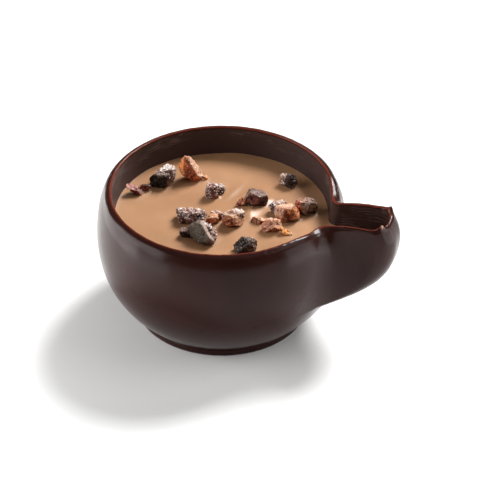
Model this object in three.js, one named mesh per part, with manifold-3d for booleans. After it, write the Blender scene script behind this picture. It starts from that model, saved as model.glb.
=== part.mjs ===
// A filled chocolate cup: a thick moulded dark chocolate cup with a hollow handle, filled with
// praline cream and strewn with chips of caramelised hazelnut and roasted cocoa bean.
// Millimetres, +Z up. The origin is the middle of the foot, on the surface that the cup stands on,
// and the handle points along +X.

import * as THREE from "three";
import { mergeVertices } from "three/addons/utils/BufferGeometryUtils.js";
import Module from "manifold-3d";

const wasm = await Module();
wasm.setup();

// Driving sizes of the bowl. Above the belly its profile is part of an ellipse, and below it the
// same, but fuller.
const rimHeight = 21.1;
const belly = { radius: 18.45, height: 13.8, upperReach: 21.1, lowerReach: 17.1, fullness: 2.2 };
const foot = { radius: 12.8, height: 1.2, bevel: 0.15, groove: 0.2 };

// The handle in plan is a tongue with a round end. Its nose sweeps down and in to the bowl.
const handle = {
  halfWidth: 3.52,
  lowerHalfWidth: 3.0,
  endRadius: 2.6,
  lowerEndRadius: 2.95,
  rootReach: 18.05,
  noseLength: 9.0,
  noseHeight: 17.7,
  noseDepth: 9.9,
  topSetback: 0.8,
  taperStart: 5,
};

// The handle flows into the bowl with a fillet that widens downwards.
const fillet = { atRim: 2.2, below: 7.8, widensOver: 15.6 };

// The inside is pressed by a stamp, so its wall leans out a little and is thick at the belly.
const bore = {
  radius: 15.8,
  draft: 0.2,
  floorHeight: 2.2,
  leastWall: 2.1,
  bend: 1,
  handleWall: 0.65,
  handleDraft: 0.11,
  endWall: 0.75,
  underWall: 2.2,
  endShare: 0.8,
  fillet: 1.6,
};

// The top edge dips where the rim turns into the handle, and rises to a cusp at each end corner.
// Its crest is near the middle of the wall on the bowl, and near the outside on the handle.
const edge = {
  shoulder: 0.55,
  innerDrop: 0.2,
  crest: { bowlShare: 0.7, handleShare: 0.25, fromX: 17, toX: 19.5 },
  neck: { x: 16.5, y: 4.4, dip: 0.9, spread: 2.8 },
  cusp: { x: 25.33, y: 2.6, rise: 1.1, spread: 0.6, roundness: 0.15 },
};

const creamLevel = 16.6;
const clearance = 0.3;

// The lumps of the topping: where the middle of each lies, how far it is up from the cream, its
// length, width and height, how far its far end leans down, and its turn about Z. Some touch and
// make up one chip.
const hazelnutLumps = [
  { x: -7.2, y: 7, up: 1.9, size: [5.2, 2.4, 2.7], lean: 50, turn: 18 },
  { x: -5.5, y: 7.4, up: 0.4, size: [1.6, 1.2, 1.4], lean: 30, turn: 18 },
  { x: -0.5, y: -2.5, up: 0.6, size: [2, 1.5, 1.7], turn: 38 },
  { x: 2.5, y: -2.1, up: 1, size: [3.5, 2.6, 3.1], turn: 28 },
  { x: 6.1, y: -0.5, up: 0.4, size: [2.2, 1.3, 1.4], turn: 8 },
  { x: 9.7, y: 1.6, up: 1.2, size: [3.9, 2.7, 3.1], lean: 22, turn: 8 },
  { x: 8.4, y: -1.6, up: 0.9, size: [3.1, 2.2, 2.5], lean: -15, turn: 18 },
  { x: 10.7, y: -2, up: 0.4, size: [2.2, 1.1, 1], lean: 35, turn: -6 },
  { x: 2.1, y: 2.7, up: 0.6, size: [2.2, 1.2, 1.4], lean: -55, turn: 18 },
  { x: 10.9, y: 3.8, up: 1.1, size: [1.6, 1.7, 3.3], turn: 18 },
];
const cocoaLumps = [
  { x: -13.8, y: 0.6, up: 0.8, size: [3.2, 1.5, 1.2], lean: 42, turn: 18 },
  { x: -12.7, y: 2, up: 0.4, size: [1.5, 1.1, 1.4], turn: 18 },
  { x: -11, y: 4, up: 1, size: [3.4, 2.2, 2.6], lean: -20, turn: 8 },
  { x: -0.5, y: -7.3, up: 1.3, size: [5.4, 2.9, 2.9], lean: 14, turn: -34 },
  { x: 4.1, y: 3.7, up: 1.3, size: [3.9, 2.8, 3.2], lean: 14, turn: 8 },
  { x: 6.3, y: -7.5, up: 0.9, size: [3.7, 2.4, 2.6], turn: 24 },
  { x: 7.5, y: 10.1, up: 0.8, size: [1.9, 1.9, 2.6], turn: 18 },
  { x: 11.8, y: 4.2, up: 1.1, size: [2, 2.4, 3.3], turn: 18 },
  { x: 12.5, y: 4.5, up: 1.1, size: [1.6, 2, 2.8], turn: 18 },
  { x: -3.1, y: -6.9, up: 0.6, size: [1.9, 1.7, 2], turn: 18 },
];
const sugaredLumps = [
  { x: -4.2, y: -3.5, up: 1, size: [2.8, 2.1, 2.7], turn: 18 },
  { x: -2.7, y: -3.2, up: 1.2, size: [2.8, 2, 2.4], lean: 10, turn: 18 },
  { x: -5.3, y: -2.7, up: 0.9, size: [1.6, 1.4, 1.5], turn: 18 },
  { x: -10.6, y: 5.9, up: 1.3, size: [2.5, 2.2, 2.7], lean: -25, turn: 18 },
  { x: -2.7, y: 3.6, up: 1, size: [2, 1.9, 3], turn: 18 },
  { x: -2, y: 4.9, up: 0.6, size: [1.9, 1.4, 1.8], lean: 30, turn: 18 },
  { x: 2.8, y: -1.5, up: 1.7, size: [2.4, 1.7, 1.5], turn: 18 },
  { x: 7.9, y: 2.9, up: 1, size: [2.7, 1.9, 2.5], turn: 18 },
  { x: 0.5, y: -6, up: 0.9, size: [3.9, 1.2, 1.9], lean: 22, turn: -36 },
  { x: 6.5, y: 10.2, up: 0.7, size: [1.4, 1.3, 2.4], turn: 18 },
  { x: -0.2, y: -1.5, up: 0.8, size: [1.9, 1.3, 1.4], lean: 15, turn: 18 },
];
const lump = { facets: 11, nearFacet: 0.7, farFacet: 1 };

// How finely the surfaces are divided.
const grid = {
  spacing: 1.75,
  finest: 0.13,
  fineWithin: 2.6,
  sideRows: 13,
  boreLevels: [14.5, 12, 9.5, 7.5, 6, 5, 4, 3.2],
  lipSteps: [-0.7, -0.35, 0, 0.55],
};

const colours = { chocolate: 0x3a2220, praline: 0xc39a74 };

const clamp = (value, low, high) => Math.min(Math.max(value, low), high);
const blend = (a, b, share) => a + (b - a) * share;

// The lower of two distances, rounded where they are nearer to each other than the width.
function smoothLower(a, b, width) {
  const near = Math.max(width - Math.abs(a - b), 0) / width;
  return Math.min(a, b) - (near * near * width) / 4;
}

function bowlRadius(z) {
  const up = Math.max(z - belly.height, 0) / belly.upperReach;
  const down = Math.max(belly.height - z, 0) / belly.lowerReach;
  return belly.radius * Math.sqrt(1 - up ** 2 - down ** belly.fullness);
}

// How far the nose of the handle reaches at a height, for a nose drawn in by a wall. It is a
// quarter of an ellipse that bulges under the edge and runs on into the bowl below its lowest point.
function noseReach(z, endWall, underWall) {
  const length = handle.noseLength - endWall;
  const depth = handle.noseDepth - underWall;
  const drop = handle.noseHeight - z;
  if (drop < 0) {
    const share = -drop / (rimHeight - handle.noseHeight);
    return handle.rootReach + length - handle.topSetback * share * share;
  }
  if (drop > depth) return handle.rootReach - length * Math.sqrt((2 * (drop - depth)) / depth);
  return handle.rootReach + length * Math.sqrt(1 - (drop / depth) ** 2);
}

// Distance in plan from a tongue that runs from the middle of the bowl to its end along +X.
function tongueDistance(x, y, end, halfWidth, radius) {
  const along = Math.max(x - (end - radius), -x - radius);
  const across = Math.abs(y) - (halfWidth - radius);
  const outside = Math.hypot(Math.max(along, 0), Math.max(across, 0));
  return outside + Math.min(Math.max(along, across), 0) - radius;
}

// Distance in plan outside the cup's outer surface at a height: the bowl and the handle, blended.
function outerDistance(x, y, z) {
  const upper = clamp((z - handle.taperStart) / (rimHeight - handle.taperStart), 0, 1);
  const halfWidth = blend(handle.lowerHalfWidth, handle.halfWidth, upper);
  const radius = blend(handle.lowerEndRadius, handle.endRadius, upper);
  const width = blend(fillet.atRim, fillet.below, clamp((rimHeight - z) / fillet.widensOver, 0, 1));
  const tongue = tongueDistance(x, y, noseReach(z, 0, 0), halfWidth, radius);
  return smoothLower(Math.hypot(x, y) - bowlRadius(z), tongue, width);
}

// The same for the inner surface, which follows the stamp in the bowl and in the handle.
function innerDistance(x, y, z, gap = 0) {
  const straight = bore.radius + bore.draft * (z - creamLevel);
  const lowest = bowlRadius(Math.min(z, belly.height)) - bore.leastWall;
  const radius = smoothLower(straight, lowest, bore.bend) - gap;
  const wall = bore.handleWall + bore.handleDraft * (rimHeight - z) + gap;
  const halfWidth = handle.halfWidth - wall;
  const end = noseReach(z, bore.endWall + gap, bore.underWall + gap);
  const tongue = tongueDistance(x, y, end, halfWidth, halfWidth * bore.endShare);
  return smoothLower(Math.hypot(x, y) - radius, tongue, bore.fillet);
}

// The surfaces are swept by rays that fan out from the X axis. Rays near the handle start further
// along the axis, so that they meet the handle's sides less flatly.
const fan = { furthest: 10.5, turnsFrom: 25, turnsTo: 95 };

function fanStart(angle) {
  const degrees = Math.abs(THREE.MathUtils.radToDeg(Math.atan2(Math.sin(angle), Math.cos(angle))));
  return fan.furthest * (1 - THREE.MathUtils.smoothstep(degrees, fan.turnsFrom, fan.turnsTo));
}

// The point where a ray at a height leaves a shape given by its distance, found by halving.
function rayPoint(distance, angle, z, gap = 0) {
  const start = fanStart(angle);
  let near = 0.2;
  let far = 35;
  for (let step = 0; step < 36; step++) {
    const middle = (near + far) / 2;
    const x = start + middle * Math.cos(angle);
    if (distance(x, middle * Math.sin(angle), z, gap) > 0) far = middle;
    else near = middle;
  }
  return new THREE.Vector3(start + near * Math.cos(angle), near * Math.sin(angle), z);
}

// Height of the top edge over a place in plan.
function edgeHeight(x, y) {
  const { neck, cusp } = edge;
  const fromNeck = Math.hypot(x - neck.x, Math.abs(y) - neck.y);
  const fromCusp = Math.hypot(x - cusp.x, Math.abs(y) - cusp.y, cusp.roundness) - cusp.roundness;
  const dip = neck.dip * Math.exp(-((fromNeck / neck.spread) ** 2));
  return rimHeight - dip + cusp.rise * Math.exp(-fromCusp / cusp.spread);
}

// Ray angles that divide the top outline evenly, and more finely where it turns at the handle.
function rayAngles() {
  const samples = 2880;
  const level = rimHeight - 1;
  const lengths = [0];
  let last = rayPoint(outerDistance, 0, level);
  for (let k = 1; k <= samples; k++) {
    const point = rayPoint(outerDistance, (2 * Math.PI * k) / samples, level);
    const fromCusp = Math.hypot(point.x - edge.cusp.x, Math.abs(point.y) - edge.cusp.y);
    const fromNeck = Math.hypot(point.x - edge.neck.x, Math.abs(point.y) - edge.neck.y);
    const share = Math.min(fromCusp, fromNeck + grid.fineWithin / 6) / grid.fineWithin;
    const step = grid.spacing * clamp(share, grid.finest, 1);
    lengths.push(lengths[k - 1] + point.distanceTo(last) / step);
    last = point;
  }
  const count = 2 * Math.round(lengths[samples] / 2);
  const angles = [];
  for (let k = 0, n = 0; n < count; n++) {
    const wanted = (lengths[samples] * n) / count;
    while (lengths[k + 1] < wanted) k++;
    const part = (wanted - lengths[k]) / (lengths[k + 1] - lengths[k]);
    angles.push((2 * Math.PI * (k + part)) / samples);
  }
  return angles;
}

// A closed mesh from rings of points that run from a lowest pole to a last pole.
function loft(firstPole, rings, lastPole) {
  const count = rings[0].length;
  const points = [firstPole, ...rings.flat(), lastPole];
  const index = [];
  const at = (ring, k) => 1 + ring * count + (k % count);
  for (let k = 0; k < count; k++) {
    index.push(0, at(0, k + 1), at(0, k));
    index.push(at(rings.length - 1, k), at(rings.length - 1, k + 1), points.length - 1);
    for (let ring = 0; ring + 1 < rings.length; ring++) {
      index.push(at(ring, k), at(ring, k + 1), at(ring + 1, k + 1));
      index.push(at(ring, k), at(ring + 1, k + 1), at(ring + 1, k));
    }
  }
  const geometry = new THREE.BufferGeometry().setFromPoints(points);
  geometry.setIndex(index);
  return geometry;
}

function circle(angles, radius, z) {
  return angles.map((angle) => {
    const start = fanStart(angle);
    const along = -start * Math.cos(angle);
    const reach = along + Math.sqrt(along * along + radius * radius - start * start);
    return new THREE.Vector3(start + reach * Math.cos(angle), reach * Math.sin(angle), z);
  });
}

// One ring of the rounded lip: a step of -1 is the top of the outer wall, 0 the crest, and 1 the
// top of the inner wall.
function lipRing(outerRing, innerRing, step) {
  const { bowlShare, handleShare, fromX, toX } = edge.crest;
  const fall = step < 0 ? edge.shoulder : edge.innerDrop;
  const drop = fall * (1 - Math.sqrt(1 - step * step));
  return outerRing.map((point, k) => {
    const onHandle = THREE.MathUtils.smoothstep(point.x, fromX, toX);
    const crest = blend(bowlShare, handleShare, onHandle);
    const share = step < 0 ? crest * (1 + step) : crest + (1 - crest) * step;
    const middle = point.clone().lerp(innerRing[k], share);
    return middle.setZ(edgeHeight(middle.x, middle.y) - drop);
  });
}

function cupGeometry(angles) {
  const rings = [
    circle(angles, foot.radius - foot.bevel, 0),
    circle(angles, foot.radius, foot.bevel),
    circle(angles, foot.radius - 0.05, foot.height - foot.groove / 2),
    circle(angles, foot.radius - foot.groove, foot.height),
  ];
  const seam = foot.height + foot.groove / 2;
  const outerTop = angles.map((angle) => {
    const rough = rayPoint(outerDistance, angle, rimHeight - edge.shoulder);
    return edgeHeight(rough.x, rough.y) - edge.shoulder;
  });
  for (let row = 0; row <= grid.sideRows; row++) {
    const share = row / grid.sideRows;
    rings.push(
      angles.map((angle, k) => rayPoint(outerDistance, angle, blend(seam, outerTop[k], share))),
    );
  }
  const innerTop = angles.map((angle) => {
    const rough = rayPoint(innerDistance, angle, rimHeight - edge.innerDrop);
    return edgeHeight(rough.x, rough.y) - edge.innerDrop;
  });
  const outerRing = rings[rings.length - 1];
  const innerRing = angles.map((angle, k) => rayPoint(innerDistance, angle, innerTop[k]));
  for (const step of grid.lipSteps) rings.push(lipRing(outerRing, innerRing, step));
  rings.push(innerRing);
  for (const z of [creamLevel, ...grid.boreLevels, bore.floorHeight]) {
    rings.push(angles.map((angle) => rayPoint(innerDistance, angle, z)));
  }
  const floor = new THREE.Vector3(0, 0, bore.floorHeight);
  return loft(new THREE.Vector3(0, 0, 0), rings, floor);
}

// The cream fills the bowl and the handle up to one level, a hair clear of the wall.
function creamGeometry(angles) {
  const base = bore.floorHeight + clearance;
  const rings = [];
  for (const z of [creamLevel, ...grid.boreLevels, base].reverse()) {
    rings.push(angles.map((angle) => rayPoint(innerDistance, angle, z, clearance)));
  }
  return loft(new THREE.Vector3(0, 0, base), rings, new THREE.Vector3(0, 0, creamLevel));
}

// A repeatable number from 0 to 1 for a pair of whole numbers.
function scatter(a, b) {
  const value = Math.sin(a * 12.9898 + b * 78.233) * 43758.5453;
  return value - Math.floor(value);
}

// A broken lump: a ball cut flat by facets that face all ways, stretched to its size.
function lumpGeometry({ x, y, up, size, lean = 0, turn }, seed) {
  const facets = [];
  for (let k = 0; k < lump.facets; k++) {
    const height = 1 - (2 * (k + 0.5)) / lump.facets;
    const angle = 2.39996 * k + 6.28 * scatter(seed, 1);
    const flat = Math.sqrt(1 - height * height);
    const normal = new THREE.Vector3(flat * Math.cos(angle), flat * Math.sin(angle), height);
    const distance = blend(lump.nearFacet, lump.farFacet, scatter(seed, k + 2));
    facets.push({ normal, distance });
  }
  const ball = new THREE.IcosahedronGeometry(1, 1);
  ball.deleteAttribute("normal");
  ball.deleteAttribute("uv");
  const geometry = mergeVertices(ball);
  const positions = geometry.getAttribute("position");
  const direction = new THREE.Vector3();
  for (let k = 0; k < positions.count; k++) {
    direction.fromBufferAttribute(positions, k).normalize();
    const reaches = facets.map(({ normal, distance }) => {
      const slope = normal.dot(direction);
      return slope > 0.05 ? distance / slope : 1;
    });
    direction.multiplyScalar(Math.min(1, ...reaches));
    positions.setXYZ(k, direction.x, direction.y, direction.z);
  }
  geometry.scale(size[0] / 2, size[1] / 2, size[2] / 2);
  geometry.rotateY(THREE.MathUtils.degToRad(lean));
  geometry.rotateZ(THREE.MathUtils.degToRad(turn));
  geometry.translate(x, y, creamLevel + up);
  return geometry;
}

function solidFrom(geometry) {
  return new wasm.Manifold(
    new wasm.Mesh({
      numProp: 3,
      vertProperties: new Float32Array(geometry.getAttribute("position").array),
      triVerts: new Uint32Array(geometry.index.array),
    }),
  );
}

function geometryFrom(solid) {
  const { vertProperties, triVerts } = solid.getMesh();
  const geometry = new THREE.BufferGeometry();
  geometry.setAttribute("position", new THREE.BufferAttribute(vertProperties, 3));
  geometry.setIndex(new THREE.BufferAttribute(triVerts, 1));
  return geometry;
}

function fillingGeometry(angles) {
  let filling = solidFrom(creamGeometry(angles));
  [...hazelnutLumps, ...cocoaLumps, ...sugaredLumps].forEach((place, k) => {
    filling = filling.add(solidFrom(lumpGeometry(place, k + 1)));
  });
  return geometryFrom(filling);
}

function namedMesh(name, geometry, colour, roughness) {
  const shaded = geometry.toNonIndexed();
  shaded.computeVertexNormals();
  const material = new THREE.MeshStandardMaterial({ color: colour, roughness, metalness: 0 });
  const mesh = new THREE.Mesh(shaded, material);
  mesh.name = name;
  return mesh;
}

const angles = rayAngles();
const filledCup = new THREE.Group();
filledCup.add(namedMesh("chocolate_cup", cupGeometry(angles), colours.chocolate, 0.35));
filledCup.add(namedMesh("praline_filling", fillingGeometry(angles), colours.praline, 0.45));

export default filledCup;
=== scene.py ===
import bpy
import numpy as np
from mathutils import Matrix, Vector


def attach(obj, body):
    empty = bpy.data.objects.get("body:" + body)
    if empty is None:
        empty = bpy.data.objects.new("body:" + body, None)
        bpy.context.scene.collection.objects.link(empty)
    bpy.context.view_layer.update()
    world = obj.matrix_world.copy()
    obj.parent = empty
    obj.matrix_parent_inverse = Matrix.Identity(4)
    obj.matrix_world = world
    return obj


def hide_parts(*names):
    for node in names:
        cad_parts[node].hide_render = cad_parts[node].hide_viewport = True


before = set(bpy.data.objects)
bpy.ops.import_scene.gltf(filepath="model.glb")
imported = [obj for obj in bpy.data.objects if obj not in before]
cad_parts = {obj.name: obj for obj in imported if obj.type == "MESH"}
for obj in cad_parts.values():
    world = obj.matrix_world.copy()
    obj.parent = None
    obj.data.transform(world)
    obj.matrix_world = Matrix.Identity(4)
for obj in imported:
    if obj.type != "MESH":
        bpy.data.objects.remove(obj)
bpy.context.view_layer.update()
print("frame loaded:", ", ".join(sorted(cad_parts)))

millimetre = 0.001

# The camera of the photo: angles in degrees and lengths in millimetres.
photoView = {
    "azimuth": 18.5,
    "elevation": 35.992,
    "distance": 478.6,
    "target": (2.572, 0.861, 11.834),
    "lens": 242.05,
    "sensor": 36,
    "clipStart": 0.01,  # in metres, as the next
    "clipEnd": 20,
}


# Towards the viewer from what is looked at: azimuth 0 is -Y.
def towardsViewer(azimuth, elevation):
    turn, rise = np.radians([azimuth, elevation])
    return Vector((np.sin(turn) * np.cos(rise), -np.cos(turn) * np.cos(rise), np.sin(rise)))


def makeCamera():
    back = towardsViewer(photoView["azimuth"], photoView["elevation"])
    lens = bpy.data.cameras.new("photo camera")
    lens.sensor_width = photoView["sensor"]
    lens.lens = photoView["lens"]
    lens.clip_start = photoView["clipStart"]
    lens.clip_end = photoView["clipEnd"]
    camera = bpy.data.objects.new("photo camera", lens)
    camera.location = (Vector(photoView["target"]) + back * photoView["distance"]) * millimetre
    camera.rotation_mode = "QUATERNION"
    camera.rotation_quaternion = (-back).to_track_quat("-Z", "Y")
    bpy.context.scene.collection.objects.link(camera)
    bpy.context.scene.camera = camera


# 0 up to low, 1 from high on, and 3s^2 - 2s^3 of the share s of the way between them.
def smoothStep(low, high, value):
    share = np.clip((value - low) / (high - low), 0, 1)
    return share * share * (3 - 2 * share)


def mix(a, b, share):
    return a + (b - a) * share


# A bell: 1 where the value is 0, and exp(-(value / spread)^2) away from it.
def bell(value, spread):
    return np.exp(-((value / spread) ** 2))


# The lower of two distances, rounded where they are nearer to each other than the width.
def smoothLower(a, b, width):
    near = np.maximum(width - np.abs(a - b), 0) / width
    return np.minimum(a, b) - near * near * width / 4


# A repeatable number from 0 to 1 for each whole-numbered cell: the fraction of a large sine.
def cellNumber(cells, seed):
    value = np.sin(cells @ np.array([12.9898, 78.233, 37.719]) + seed * 4.137) * 43758.5453
    return value - np.floor(value)


# Numbers at the corners of unit cells, blended across each cell by 3f^2 - 2f^3.
def softNoise(points, seed):
    cells = np.floor(points)
    part = points - cells
    part = part * part * (3 - 2 * part)
    total = np.zeros(points.shape[:-1])
    for corner in np.ndindex(2, 2, 2):
        share = np.prod(np.where(corner, part, 1 - part), axis=-1)
        total += share * cellNumber(cells + corner, seed)
    return total


# Distance to the nearest of one scattered point per unit cell, and that point's own number.
def grainNoise(points, seed):
    cells = np.floor(points)
    nearest = np.full(points.shape[:-1], 9.0)
    own = np.zeros(points.shape[:-1])
    for step in np.ndindex(3, 3, 3):
        cell = cells + step - 1
        spot = cell + np.stack([cellNumber(cell, seed + k) for k in (1, 2, 3)], axis=-1)
        distance = np.linalg.norm(points - spot, axis=-1)
        own = np.where(distance < nearest, cellNumber(cell, seed + 7), own)
        nearest = np.minimum(nearest, distance)
    return nearest, own


# Low waves in plan: noise with the scale, in repeats per millimetre, and the height of each pair.
def lowWaves(x, y, waves, firstSeed):
    flat = np.stack([x, y, np.zeros(x.shape)], axis=-1)
    height = np.zeros(x.shape)
    for step, (scale, high) in enumerate(waves):
        height += high * (softNoise(flat * scale, firstSeed + step) - 0.5)
    return height


# Faces of a sheet of rings that closes on itself and ends in a pole at both ends.
def ringFaces(rows, columns, first=0):
    here = np.arange(columns)
    there = (here + 1) % columns
    row = first + 1 + np.arange(rows - 1)[:, None] * columns
    quads = np.stack([row + here, row + there, row + columns + there, row + columns + here], -1)
    last = first + 1 + (rows - 1) * columns
    lowest = np.stack([np.full(columns, first), first + 1 + there, first + 1 + here], -1)
    highest = np.stack([last + here, last + there, np.full(columns, last + columns)], -1)
    return quads.reshape(-1, 4).tolist() + lowest.tolist() + highest.tolist()


# Puts points in millimetres into a mesh in metres, with a number or a colour kept at each point.
def makePiece(name, points, faces, numbers=None, colours=None):
    mesh = bpy.data.meshes.new(name)
    mesh.from_pydata((points * millimetre).tolist(), [], faces)
    mesh.polygons.foreach_set("use_smooth", np.ones(len(mesh.polygons), bool))
    for label, values in (numbers or {}).items():
        mesh.attributes.new(label, "FLOAT", "POINT").data.foreach_set("value", np.ravel(values))
    for label, values in (colours or {}).items():
        values = np.concatenate([values, np.ones((len(values), 1))], axis=1)
        layer = mesh.attributes.new(label, "FLOAT_COLOR", "POINT")
        layer.data.foreach_set("color", values.ravel())
    mesh.update()
    piece = bpy.data.objects.new(name, mesh)
    bpy.context.scene.collection.objects.link(piece)
    return piece


bowl = {
    "rimHeight": 21.1, "bellyRadius": 18.45, "bellyHeight": 13.8, "upperReach": 21.1,
    "lowerReach": 17.1, "fullness": 2.2,
}
foot = {"radius": 12.8, "height": 1.2, "bevel": 0.15, "groove": 0.2, "bulge": 0.02, "underside": 2}
handle = {
    "halfWidth": 3.52, "lowerHalfWidth": 3.0, "endRadius": 2.6, "lowerEndRadius": 2.95,
    "rootReach": 18.05, "noseLength": 9.0, "noseHeight": 17.7, "noseDepth": 9.9,
    "topSetback": 0.8, "taperStart": 5, "filletAtRim": 2.2, "filletBelow": 7.8,
    "filletWidensOver": 15.6,
}
bore = {
    "radius": 15.8, "draft": 0.2, "draftFrom": 16.6, "floor": 2.2, "leastWall": 2.1, "bend": 1,
    "handleWall": 0.65, "handleDraft": 0.11, "endWall": 0.75, "underWall": 2.2, "endShare": 0.8,
    "fillet": 1.6,
}


# Radius of the bowl: part of an ellipse above the belly, and a fuller one below it.
def bowlRadius(z):
    up = np.maximum(z - bowl["bellyHeight"], 0) / bowl["upperReach"]
    down = np.maximum(bowl["bellyHeight"] - z, 0) / bowl["lowerReach"]
    return bowl["bellyRadius"] * np.sqrt(1 - up**2 - down ** bowl["fullness"])


# Reach of the handle's nose: a quarter of an ellipse that bulges under the edge, and that runs on
# into the bowl below its lowest point.
def noseReach(z, endWall=0, underWall=0):
    length = handle["noseLength"] - endWall
    depth = handle["noseDepth"] - underWall
    drop = handle["noseHeight"] - z
    rise = -drop / (bowl["rimHeight"] - handle["noseHeight"])
    above = handle["rootReach"] + length - handle["topSetback"] * rise**2
    bulge = handle["rootReach"] + length * np.sqrt(np.clip(1 - (drop / depth) ** 2, 0, 1))
    below = handle["rootReach"] - length * np.sqrt(np.maximum(2 * (drop - depth) / depth, 0))
    return np.where(drop < 0, above, np.where(drop > depth, below, bulge))


# Distance in plan from a tongue with a round end that runs from the middle of the bowl along +X.
def tongueDistance(x, y, end, halfWidth, radius):
    along = np.maximum(x - (end - radius), -x - radius)
    across = np.abs(y) - (halfWidth - radius)
    outside = np.hypot(np.maximum(along, 0), np.maximum(across, 0))
    return outside + np.minimum(np.maximum(along, across), 0) - radius


# Distance in plan outside the cup: the bowl's circle and the handle's tongue, blended.
def outerDistance(x, y, z, gap=0):
    start = handle["taperStart"]
    upper = np.clip((z - start) / (bowl["rimHeight"] - start), 0, 1)
    halfWidth = mix(handle["lowerHalfWidth"], handle["halfWidth"], upper)
    radius = mix(handle["lowerEndRadius"], handle["endRadius"], upper)
    below = np.clip((bowl["rimHeight"] - z) / handle["filletWidensOver"], 0, 1)
    width = mix(handle["filletAtRim"], handle["filletBelow"], below)
    tongue = tongueDistance(x, y, noseReach(z), halfWidth, radius)
    return smoothLower(np.hypot(x, y) - bowlRadius(z), tongue, width) + gap


# The same for the inner wall, drawn in by a gap.
def innerDistance(x, y, z, gap=0):
    straight = bore["radius"] + bore["draft"] * (z - bore["draftFrom"])
    lowest = bowlRadius(np.minimum(z, bowl["bellyHeight"])) - bore["leastWall"]
    radius = smoothLower(straight, lowest, bore["bend"]) - gap
    wall = bore["handleWall"] + bore["handleDraft"] * (bowl["rimHeight"] - z) + gap
    halfWidth = handle["halfWidth"] - wall
    end = noseReach(z, bore["endWall"] + gap, bore["underWall"] + gap)
    tongue = tongueDistance(x, y, end, halfWidth, halfWidth * bore["endShare"])
    return smoothLower(np.hypot(x, y) - radius, tongue, bore["fillet"])


# The walls are swept by rays that fan out from the X axis. Rays near the handle start further out,
# and lie closer together at its cusps and neck.
fan = {
    "furthest": 10.5,
    "turnsFrom": 25,
    "turnsTo": 95,
    "inside": 0.2,  # a reach that ends inside every wall
    "outside": 35.0,  # and one that ends outside
    "halvings": 34,
    "samples": 5761,
    "belowRim": 1.0,
    "atCusps": {"more": 4, "spread": 0.9},
    "atNeck": {"more": 1.2, "spread": 2.5},
}


def fanStart(angles):
    degrees = np.abs(np.degrees(np.arctan2(np.sin(angles), np.cos(angles))))
    return fan["furthest"] * (1 - smoothStep(fan["turnsFrom"], fan["turnsTo"], degrees))


# Where each ray leaves a shape at each height: start + reach * (cos, sin), found by halving.
def wallPoints(distance, angles, z, gap=0):
    angles, z = np.broadcast_arrays(angles, z)
    start = fanStart(angles)
    near = np.full(angles.shape, fan["inside"])
    far = np.full(angles.shape, fan["outside"])
    for _ in range(fan["halvings"]):
        middle = (near + far) / 2
        outside = distance(start + middle * np.cos(angles), middle * np.sin(angles), z, gap) > 0
        far = np.where(outside, middle, far)
        near = np.where(outside, near, middle)
    return np.stack([start + near * np.cos(angles), near * np.sin(angles), z], axis=-1)


# The top edge dips where the rim turns into the handle, and rises to a cusp at each end corner.
# From its crest the lip falls to the outer wall by the shoulder, and to the inner wall by the
# inner drop. The outer wall is drawn in towards the shoulder, and more so at the neck.
lip = {
    "shoulder": 0.4,
    "innerDrop": 0.2,
    "roundedBelow": 2.6,
    "drawnIn": 0.28,
    "drawnInHandle": 0.14,
    "moreAtNeck": 0.14,
    "moreSpread": 2.2,
    "crestOnBowl": 0.82,
    "crestOnHandle": 0.3,
    "handleFrom": 17,
    "handleTo": 19.5,
    "endFrom": 25.3,
    "endTo": 26.3,
    "neck": {"x": 16.5, "y": 4.4, "dip": 0.9, "spread": 3.0},
    "cusp": {"x": 25.33, "y": 2.6, "rise": 1.1, "spread": 0.6, "roundness": 0.15},
    "nearCuspSpread": 0.34,
    "paleReach": (0.31, 0.62),  # how far from the near cusp's tip it is all pale, and ends
    "outerRows": 12,
    "innerRows": 11,
    "lineWidth": 0.24,
    "lineBelow": 0.25,  # how much of the line the inner wall's top carries
    "lineRows": 1.2,
    "unevenness": [(0.9, 0.07), (2.6, 0.035)],
    # The place in plan, the radius and the depth of each.
    "nicks": [(9.1, -14.4, 0.35, 0.05), (11.3, -12.6, 0.3, 0.06), (12.0, -11.9, 0.25, 0.05)],
}


# Height of the top edge over a place in plan: a bell down at the neck, and at each cusp a rise
# that dies away as exp(-distance / spread).
def edgeHeight(x, y):
    neck, cusp = lip["neck"], lip["cusp"]
    fromNeck = np.hypot(x - neck["x"], np.abs(y) - neck["y"])
    fromCusp = np.hypot(np.hypot(x - cusp["x"], np.abs(y) - cusp["y"]), cusp["roundness"])
    spread = np.where(y < 0, lip["nearCuspSpread"], cusp["spread"])
    rise = cusp["rise"] * np.exp(-(fromCusp - cusp["roundness"]) / spread)
    return bowl["rimHeight"] - neck["dip"] * bell(fromNeck, neck["spread"]) + rise


# 1 along the sides of the handle, and 0 on the bowl and at the handle's end.
def alongHandle(x):
    onHandle = smoothStep(lip["handleFrom"], lip["handleTo"], x)
    return onHandle * (1 - smoothStep(lip["endFrom"], lip["endTo"], x))


# Where the crest lies across the lip, from 0 outside to 1 inside: near the inner wall on the bowl
# and at the handle's end, and near the outer wall along the handle.
def crestShare(x):
    return mix(lip["crestOnBowl"], lip["crestOnHandle"], alongHandle(x))


# Small bites out of the lip, each a soft pit of its own radius and depth.
def nickDepth(x, y):
    depth = np.zeros(x.shape)
    for atX, atY, radius, deep in lip["nicks"]:
        depth += deep * bell((x - atX) ** 2 + (y - atY) ** 2, radius**2)
    return depth


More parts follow.
